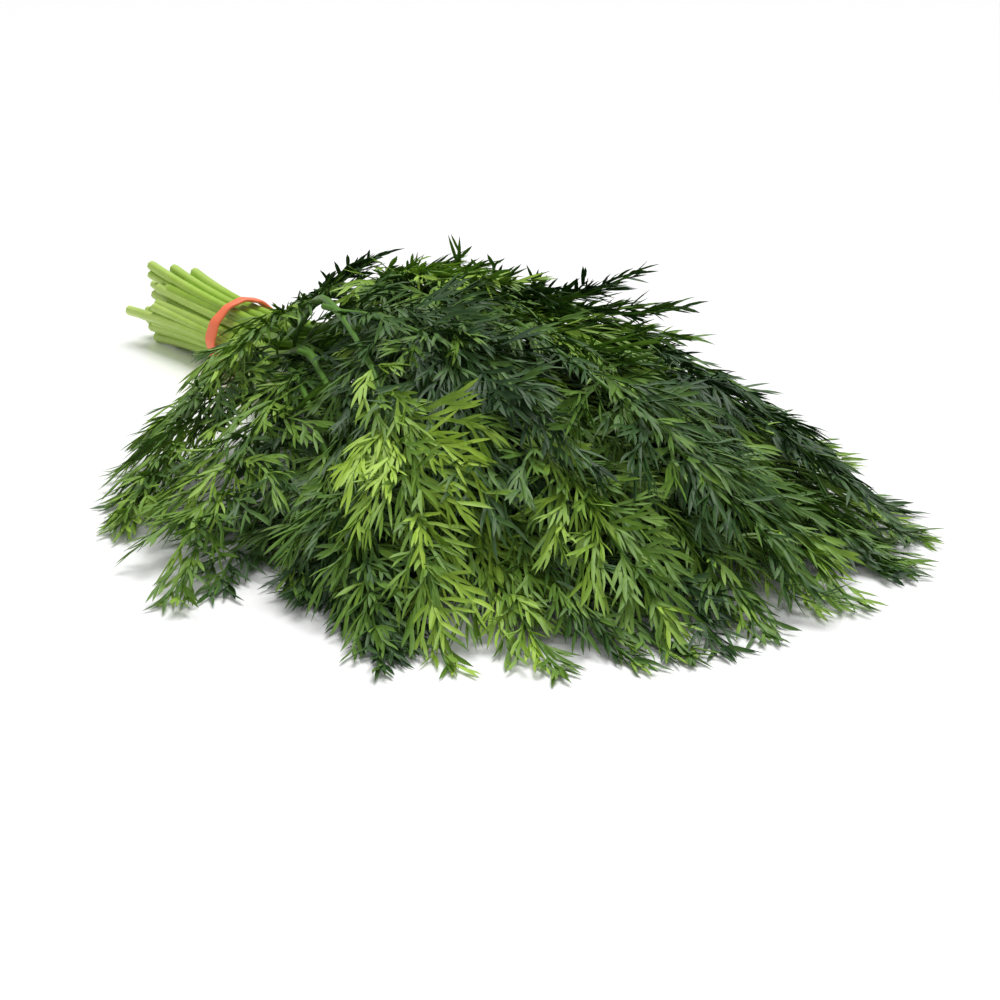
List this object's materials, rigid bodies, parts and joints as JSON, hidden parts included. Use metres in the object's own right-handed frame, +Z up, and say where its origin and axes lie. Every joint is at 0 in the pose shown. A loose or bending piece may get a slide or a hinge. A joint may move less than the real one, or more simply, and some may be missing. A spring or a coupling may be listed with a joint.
{
  "type": "dill bunch",
  "caption": "Bunch of fresh dill lying on its side: slender stems held by a rubber band, spreading into a low heap of feathery fronds.",
  "frame": {"origin": "on the worktop, under the middle of the whole bunch", "axes": "+X runs along the bunch from the cut ends to the leaf tips, +Z is up from the worktop"},
  "size_m": [0.3382, 0.2388, 0.0655],
  "materials": {
    "dill_leaf": "satin",
    "natural_rubber": "matte"
  },
  "bodies": {
    "root": {"leafy_stem_01": "dill_leaf", "leafy_stem_02": "dill_leaf", "leafy_stem_03": "dill_leaf", "leafy_stem_04": "dill_leaf", "leafy_stem_05": "dill_leaf", "leafy_stem_06": "dill_leaf", "leafy_stem_07": "dill_leaf", "leafy_stem_08": "dill_leaf", "leafy_stem_09": "dill_leaf", "leafy_stem_10": "dill_leaf", "leafy_stem_11": "dill_leaf", "leafy_stem_12": "dill_leaf", "leafy_stem_13": "dill_leaf", "leafy_stem_14": "dill_leaf", "leafy_stem_15": "dill_leaf", "leafy_stem_16": "dill_leaf", "leafy_stem_17": "dill_leaf", "leafy_stem_18": "dill_leaf", "leafy_stem_19": "dill_leaf", "leafy_stem_20": "dill_leaf", "leafy_stem_21": "dill_leaf", "leafy_stem_22": "dill_leaf", "leafy_stem_23": "dill_leaf", "leafy_stem_24": "dill_leaf", "rubber_band": "natural_rubber"}
  },
  "joints": []
}
